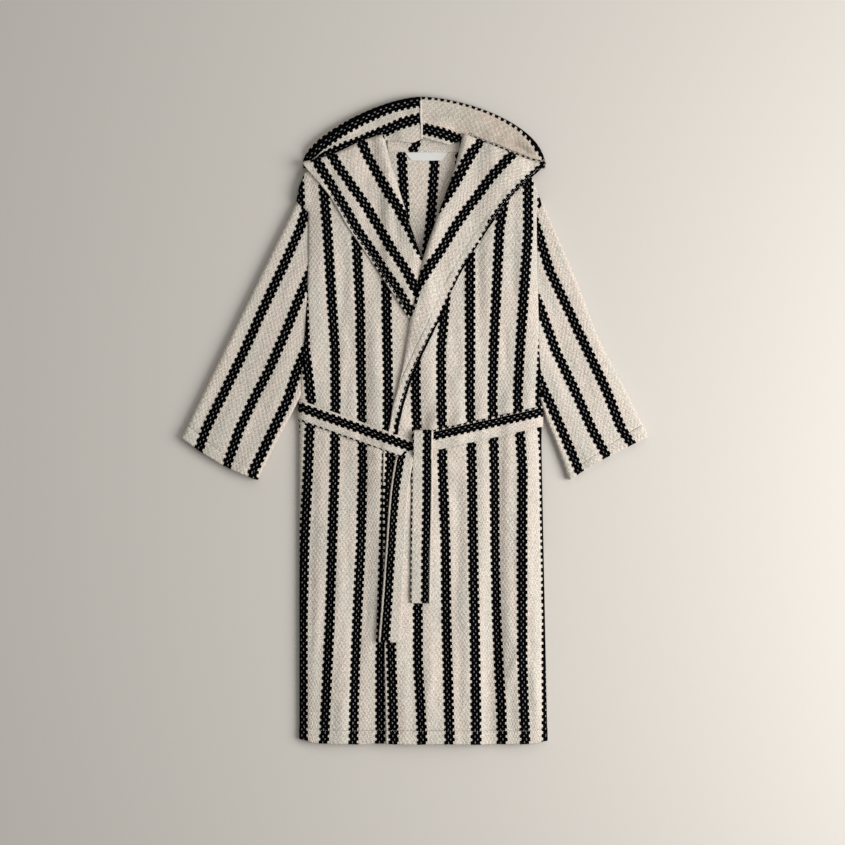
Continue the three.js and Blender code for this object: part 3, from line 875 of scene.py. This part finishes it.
def lapel(name, node, lines, bottom, top, left, right, roll_side, height, axis):
    """A lapel on the fronts, up to the hood. roll_side is 1 where its rolled edge is the right line,
    and -1 where it is the left one."""
    us = spread(180, 4.6)
    vs = spread(440, 4.4)
    u, v = np.meshgrid(us, vs)
    xy = patch(bottom, top, left, right, u, v)
    x, y = xy[..., 0], xy[..., 1]
    span = np.linalg.norm(xy[:, -1] - xy[:, 0], axis=-1)[:, None]
    to_roll = (1 - u if roll_side > 0 else u) * span
    to_edge = (u if roll_side > 0 else 1 - u) * span
    rise = np.linalg.norm(np.gradient(xy, axis=0), axis=-1).sum(0)[None, :]
    to_fold = (1 - v) * rise
    z = height(x, y) + 2.2 * gauss(to_roll - 12, 14) * smooth(span, 30, 90)
    z = z - drop(to_roll, 8, 7.0 * smooth(span, 10, 60)) - drop(to_fold, 9, 7.0)
    extra, dip = hem_shape(to_edge + 6)
    mid = np.stack([x, y, z - 0.7 * dip], -1)
    place_v = x * axis[0] + y * axis[1]
    weave = np.stack([across(x, y, lines), place_v], -1)
    piece = cloth(name, mid, weave, CLOTH + 0.4 * extra, terry_cloth)
    seam = [[np.interp(4.5, far[::roll_side], row[::roll_side, i]) for i in range(3)]
            for row, far in zip(mid[12:-6], to_edge[12:-6])]
    sew(piece, np.array(seam) + (0, 0, CLOTH / 2 + 0.1))
    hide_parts(node)
    turn_with_hood(piece)


def right_lapel_z(x, y):
    edge = np.interp(y, np.r_[FRONT_EDGE[:, 1], ROLL_L[1:, 1]],
                     np.r_[FRONT_EDGE[:, 0], ROLL_L[1:, 0]])
    tuck = 3.4 * smooth(x, edge - 16, edge + 2) * (1 - smooth(y, 318, 340))
    swell = 1.6 * noise(x / 60, y / 70, 41) + 0.8 * noise(x / 22, y / 30, 42)
    return FRONT_MID + LAYER + folds(x, y) + swell * 0.6 + 0.9 - tuck


def left_lapel_z(x, y):
    swell = 1.6 * noise(x / 60, y / 70, 43) + 0.8 * noise(x / 22, y / 30, 44)
    return left_front_z(np.minimum(x, 250), y) + LAYER + 0.5 + np.maximum(swell, -0.2) * 0.8


lapel(
    "right_lapel_cloth", "right_lapel", STRIPES_RIGHT_LAPEL,
    [(-6, 206), (22, 312)], FOLD_R,
    rounded([(-6, 206), (-78, 316), (-139, 406), (-154, 432), (-180, 474), (-220, 521), (-235, 540)]),
    ROLL_R, 1, right_lapel_z, (0.55, -0.83))
lapel(
    "left_lapel_cloth", "left_lapel", STRIPES_LEFT_LAPEL,
    [(-55, -29), (-38, -29)], FOLD_L,
    [(-55, -29), *[p for p in FRONT_EDGE[1:] if p[1] > -15], *ROLL_L[1:]],
    rounded([(-38, -29), (-35.5, -10), (-31.5, 5), (-26, 29), (-18.5, 55), (-9.5, 82), (-0.5, 105),
             (19.5, 148), (33.5, 177), (47, 205), (96.6, 313), (191, 456), (264.6, 529), (273, 540)]),
    -1, left_lapel_z, (0.5, 0.86))

# ---- Hood ----

HOOD_SEAM_X = 12.0
HOOD_R = bezier((-235, 540), (-232, 595), (-70, 677), (HOOD_SEAM_X, 678.5))
HOOD_L = bezier((273, 540), (262, 625), (95, 678), (HOOD_SEAM_X, 678.5))
HOOD_TURN = 7.6  # radius of the turn from outside to inside at the far edge
HOOD_SHARE = 0.86  # weave to each mm inside the hood, where it is stretched
MOUTH_HEM = 7.0
HOOD_CREASES = [
    ((190, 578), (262, 556), 9, -6.0), ((205, 592), (262, 574), 8, 3.5),
    ((60, 616), (150, 590), 9, -4.5), ((70, 640), (170, 612), 10, 2.5),
    ((-150, 592), (-70, 612), 9, -2.5),
]
# Places of the inside's two stripes, from the far edge, at shares of the way to the centre seam.
HOOD_SHARES = [0.0, 0.12, 0.3, 0.5, 0.75, 1.0]
HOOD_STRIPES = {
    -1: ([11.0, 13.5, 13.5, 12.0, 10.5, 10.0], [20.0, 29.0, 43.0, 53.0, 52.0, 45.0]),
    1: ([2.0, 0.0, -5.2, -6.4, -6.6, -6.4], [90.0, 82.0, 78.0, 78.0, 75.0, 67.0]),
}


def hood_seam():
    """The seam between the hood's halves, standing up a little inside."""
    y = np.linspace(673, 590, 24)
    t = np.linspace(0, 1, 24)
    z = BACK_MID + 0.2 + 2 * HOOD_TURN + 2.6 - (2 * HOOD_TURN - 16.5) * smooth(t, 0.12, 0.9)
    z[0] -= 5
    x = HOOD_SEAM_X + 0.03 * (673 - y) + 0.6 * noise(y / 20, 0 * y, 61)
    piece, _, _ = ribbon("hood_centre_seam", np.column_stack([x, y, z]), (1, 0, 0), 2.4,
                         1.6, thread)
    turn_with_hood(piece)
    return piece


def hood_half(side, node, curve, neck, fold, trim=()):
    """From the neck seam up the outside of the hood, round its far edge and back along the inside."""
    ts = spread(300, 4.2)
    out_rows = spread(110, 5.0, fine=(1, 4, 8))
    in_rows = spread(95, 3.6, fine=(1, 3, 6, 7.5, 8.6, 9.8, 11.2, 12.4, 13.6))
    outer_low = along(neck, ts)
    edge = along(curve, ts)
    inner_low = along(fold, ts)
    swell = lambda x, y: (2.4 * noise(x / 55 + 9 * side, y / 26, 51)
                          + 1.2 * noise(x / 20, y / 12, 52) + creases(x, y, HOOD_CREASES))
    grow = smooth(ts * 300, 0, 46)
    to_centre = unit(inner_low - edge)
    rows, place_u = [], []
    first, second = (np.interp(ts, HOOD_SHARES, f) for f in HOOD_STRIPES[side])
    length = distances(edge)
    low_z = BACK_MID + 0.2
    turn = HOOD_TURN * np.maximum(grow, 0.12)
    inset = edge + to_centre * turn[:, None]
    reach = np.linalg.norm(inset - outer_low, axis=-1)
    for s in out_rows:
        xy = outer_low * (1 - s) + inset * s
        rows.append(np.column_stack([xy, np.full(len(ts), low_z)]))
        place_u.append(-(1 - s) * reach - HOOD_TURN)
    for a in np.radians([-60, -30, 0, 30, 60]):
        xy = inset - to_centre * (turn * math.cos(a))[:, None]
        rows.append(np.column_stack([xy, low_z + turn * (1 + math.sin(a))]))
        place_u.append(np.full(len(ts), a / math.pi * HOOD_TURN * 2))
    reach = np.linalg.norm(inner_low - inset, axis=-1)
    for s in in_rows:
        xy = inset * (1 - s) + inner_low * s
        rays = 1.7 * noise(ts * 17 + 5 * side, s * 1.3, 53)
        belly = (swell(xy[:, 0], xy[:, 1]) + rays) * math.sin(math.pi * min(1, s * 1.15)) * grow
        mouth = smooth(ts, 0.72, 0.86)
        sink = (2 * turn - 9.5 - 7.0 * mouth) * float(smooth(s, 0.12, 0.9)) * grow
        rows.append(np.column_stack([xy, low_z + 2 * turn + belly - sink]))
        at = HOOD_TURN + s * reach
        past = s * reach - (reach - MOUTH_HEM)
        peek = second + (PITCH - 4.4 + past) / HOOD_SHARE
        place_u.append(np.where((past > -7.4) & (side > 0) & (ts < 0.62), peek, at))
    mid = np.array(rows)
    gap = np.maximum(second - first, 2 * STRIPE_HOLD - 8)
    u = np.array(place_u) - first
    hold = np.minimum(STRIPE_HOLD / HOOD_SHARE, gap / 2 - 0.5)
    middle = HOOD_SHARE * hold + (u - hold) * (PITCH - 2 * HOOD_SHARE * hold) / (gap - 2 * hold)
    past_gap = HOOD_SHARE * (u - gap) + PITCH
    u = np.where(u < hold, HOOD_SHARE * u, np.where(u > gap - hold, past_gap, middle))
    v = np.broadcast_to(length, u.shape)
    name = "right_hood" if side < 0 else "left_hood"
    piece = cloth(name, mid, np.stack([u, v], -1), CLOTH, hood_cloth_painted_shade if side > 0 else terry_cloth)
    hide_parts(node)
    turn_with_hood(piece)


hood_half(
    -1, "hood_right_half", HOOD_R, rounded([(-235, 537), (-63, 565.4), (HOOD_SEAM_X, 565.4)]),
    np.vstack([FOLD_R - (0, 8), [(-38, 588), (-6, 584), (HOOD_SEAM_X + 3, 592)]]), [hood_seam()])
hood_half(
    1, "hood_left_half", HOOD_L, rounded([(273, 537), (101, 565.4), (HOOD_SEAM_X, 565.4)]),
    np.vstack([FOLD_L[::-1] - (0, 8), [(74, 580), (44, 587), (HOOD_SEAM_X + 3, 596)]]))

# ---- Neck ----

facing_path = [(18, y, z) for y, z in zip(np.linspace(565.5, 600, 14), np.linspace(5.8, 7.0, 14))]
facing, _, facing_length = ribbon(
    "neck_facing_cloth", facing_path, (1, 0, 0), 150, 3.0, terry_cloth,
    place=lambda w, s: np.clip(w - 52.0 - 14.0 * s, -28.0, 28.0))
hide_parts("neck_facing")
turn_with_hood(facing)

label_path = [(24, y, 5.1 + 0.25 * math.sin((y - 549) / 15 * math.pi))
              for y in np.linspace(547, 564, 12)]
label, _, _ = ribbon("neck_label_satin", label_path, (1, 0, 0), np.linspace(64, 90, 12), 0.8, satin)
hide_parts("neck_label")
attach(label, "robe")

# ---- Belt ----

BELT_THICK = 4.2
BELT_LIFT = CLOTH / 2 + BELT_THICK / 2 - 1.6  # it sinks 1.6 into the fronts
BELT_BACK_Z = 4.3  # height of its middle behind the back
RUN_STEPS = 74
BLACK_MID = 13.4  # the black stripe's middle, from the upper edge
TEETH_AT, TEETH_REACH = 37.8, 10.4  # place and reach of the next stripe's teeth
CREAM_EDGE, TO_CREAM = 1.6, 26.0  # a narrow edge, and the shift that makes it cream
KNOT_WIDTH = 38


def belt_place(w, top=BLACK_MID, dots=1.0):
    """Cream edge, black half, cream half, and the next stripe's teeth at the far edge."""
    d = w - top
    return np.where(d > TEETH_AT - top, d + dots * (PITCH - TEETH_REACH - TEETH_AT + top), d)


def waist_place(w, s):
    """The belt's upper cream edge and lower teeth show on the wearer's right only."""
    turned = smooth(s, 0.3, 0.7)
    return belt_place(w, BLACK_MID - 3.6 * turned, 1 - turned)


def belt_level(x, y):
    """Height of the belt's middle on the fronts."""
    return float(np.max(front_top(np.full(5, x), y + np.linspace(-14, 14, 5)))) + BELT_LIFT


def front_run(start, end):
    """The belt's way over the front, from one X to another."""
    run = []
    for x in np.linspace(start, end, RUN_STEPS):
        y = float(belt_line(x))
        run.append((x, y, belt_level(x, y)))
    return run


def round_side(side, out, y, top):
    """The belt's way round a side seam, from front to back. out is -1 or 1, away from the robe."""
    return [(side - 4 * out, y, top - 1.2), (side + 0.6 * out, y, top - 4.5),
            (side + 3.0 * out, y, top - 10), (side + 3.0 * out, y, 11),
            (side + 0.4 * out, y, 6.2), (side - 5 * out, y, 4.6)]


def belt_waist():
    """The belt from the knot round the wearer's right side, the back and the left side."""
    y_r, y_l = BELT_SIDE_R[1], BELT_SIDE_L[1]
    path = front_run(KNOT[0] - 4, SIDE_R + 12)
    path += round_side(SIDE_R, -1, y_r, path[-1][2])
    for x in np.linspace(SIDE_R + 16, SIDE_L - 16, 60):
        path.append((x, np.interp(x, [SIDE_R, SIDE_L], [y_r, y_l]), BELT_BACK_Z))
    path += round_side(SIDE_L, 1, y_l, belt_level(SIDE_L - 12, y_l))[::-1]
    path += front_run(SIDE_L - 12, KNOT[0] + 4)
    piece, _, length = ribbon("belt_waist", path, (0, -1, 0), BELT_WIDTH, BELT_THICK,
                              belt_cloth, place=waist_place, puff=0.9)
    top = np.array([0, 0, BELT_THICK / 2])
    runs = [np.array(path[2:RUN_STEPS]), np.array(path[-RUN_STEPS:-2])]
    sew(piece, *[run + top + (0, side * 18, 0) for run in runs for side in (-1, 1)],
        stitch=2.6, pitch=4.4)
    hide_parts("belt_back_run", "belt_right_run", "belt_left_run")
    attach(piece, "robe")


belt_waist()


def over_all(x, y):
    """The highest of the fronts' top at a place and 12 mm to each side of it."""
    return float(np.max(front_top(x + np.array([-12.0, 0, 12.0]), np.full(3, y))))


def clean_edge(w):
    """Black up to a narrow cream edge, without teeth on that side."""
    return np.where(w < CREAM_EDGE, w - TO_CREAM, belt_place(w, 8.8))


def knot():
    """The belt turned once over itself: it comes up behind the waist and folds down over it."""
    steps = [(-30, 3.0), (-25.5, 5.6), (-23.2, 9.2), (-25.5, 12.6), (-31, 14.2), (-40, 14.8),
             (-50, 14.6), (-60, 13.6), (-70, 11.6), (-78, 9.2), (-86, 7.0)]
    path = [(17 + 0.02 * (y + 50), y, knot_base - 1.5 + z) for y, z in rounded(steps, 4)]
    piece, _, length = ribbon("belt_knot_band", path, (1, 0, 0), KNOT_WIDTH, BELT_THICK, belt_cloth,
                              place=lambda w, s: clean_edge(KNOT_WIDTH - w), puff=1.4)
    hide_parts("belt_knot")
    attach(piece, "robe")


knot_base = over_all(*KNOT)
knot()


def tail(name, node, stations, top_z, place, sewn=(-1, 1)):
    """A hanging end, through stations of (middle x, y, width)."""
    count = 90
    line = rounded(stations, 12)
    t = np.linspace(0, 1, count)
    share = np.linspace(0, 1, len(line))
    x, y, size = (np.interp(t, share, line[:, i]) for i in range(3))
    rest = np.array([over_all(a, b) for a, b in zip(x, y)])
    rest = np.convolve(np.pad(rest, 4, mode="edge"), np.ones(9) / 9, "valid")
    z = rest + BELT_THICK / 2 + 0.6
    z = z * smooth(t, 0, 0.09) + top_z * (1 - smooth(t, 0, 0.09))
    path = np.column_stack([x, y, z])
    w = spread(1.0, 0.08, fine=(0.02, 0.06, 0.12))
    mid = np.repeat(path[:, None], len(w), 1)
    mid[..., 0] += (w[None, :] - 0.5) * size[:, None]
    s = distances(path)
    mid[..., 2] += 0.9 * noise(s[:, None] / 40, w[None, :] * 2, 71) * np.abs(2 * w - 1)[None, :]
    weave = np.stack(np.broadcast_arrays(place(w[None, :] * BELT_WIDTH), s[:, None]), -1)
    thick = BELT_THICK + 0.8 * np.sin(np.pi * w)[None, :]
    piece = cloth(name, mid, weave, thick, belt_cloth)
    sew(piece, *[np.column_stack([x + side * (size / 2 - 3.5), y, z + BELT_THICK / 2 - 0.05])
                 for side in sewn], stitch=2.6, pitch=4.4)
    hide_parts(node)
    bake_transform(piece)


tail("belt_end_over", "belt_tail_over",
     [(15.5, -82, 42), (15, -165, 41.5), (13, -280, 40.5), (12, -382, 39.5)],
     knot_base + 6.5, lambda w: clean_edge(BELT_WIDTH - w))
tail("belt_end_under", "belt_tail_under",
     [(-18, -66, 32), (-25, -97, 33.5), (-34.5, -166, 34), (-42.7, -286, 35), (-48, -378, 38.8),
      (-53.6, -464, 42)],
     knot_base + 2.5, lambda w: np.where(w < CREAM_EDGE, w - TO_CREAM, w - 10.5), sewn=(1,))


# ---- Stage ----


def area_light(name, place, target, size, power, colour):
    data = bpy.data.lights.new(name, "AREA")
    data.shape = "DISK"
    data.size = size
    data.energy = power
    data.color = colour
    light = new_object(name, data)
    light.location = place
    aim = np.array(target, float) - np.array(place, float)
    light.rotation_mode = "QUATERNION"
    light.rotation_quaternion = Vector(aim).to_track_quat("-Z", "Y")


area_light("key", (2.45, -0.3, 2.0), (0.1, 0.0, 0.0), 2.4, 117.0, (1.0, 0.985, 0.965))
area_light("upper", (1.3, 2.3, 2.6), (0.0, 0.0, 0.0), 1.6, 13.0, (1.0, 0.985, 0.965))

floor_material = woven("floor_paint", (0.60, 0.572, 0.535, 1), (0.59, 0.562, 0.525, 1), 400.0, 0.85, 0.1)
floor_mesh = bpy.data.meshes.new("floor")
floor_mesh.from_pydata([(-20, -20, 0), (20, -20, 0), (20, 20, 0), (-20, 20, 0)], [], [(0, 1, 2, 3)])
floor_mesh.materials.append(floor_material)
floor = new_object("floor", floor_mesh)
floor.location.z = -0.0006

world = bpy.data.worlds.new("studio")
world.use_nodes = True
background = world.node_tree.nodes["Background"]
background.inputs[0].default_value = (1.0, 0.985, 0.95, 1)
background.inputs[1].default_value = 0.34
bpy.context.scene.world = world
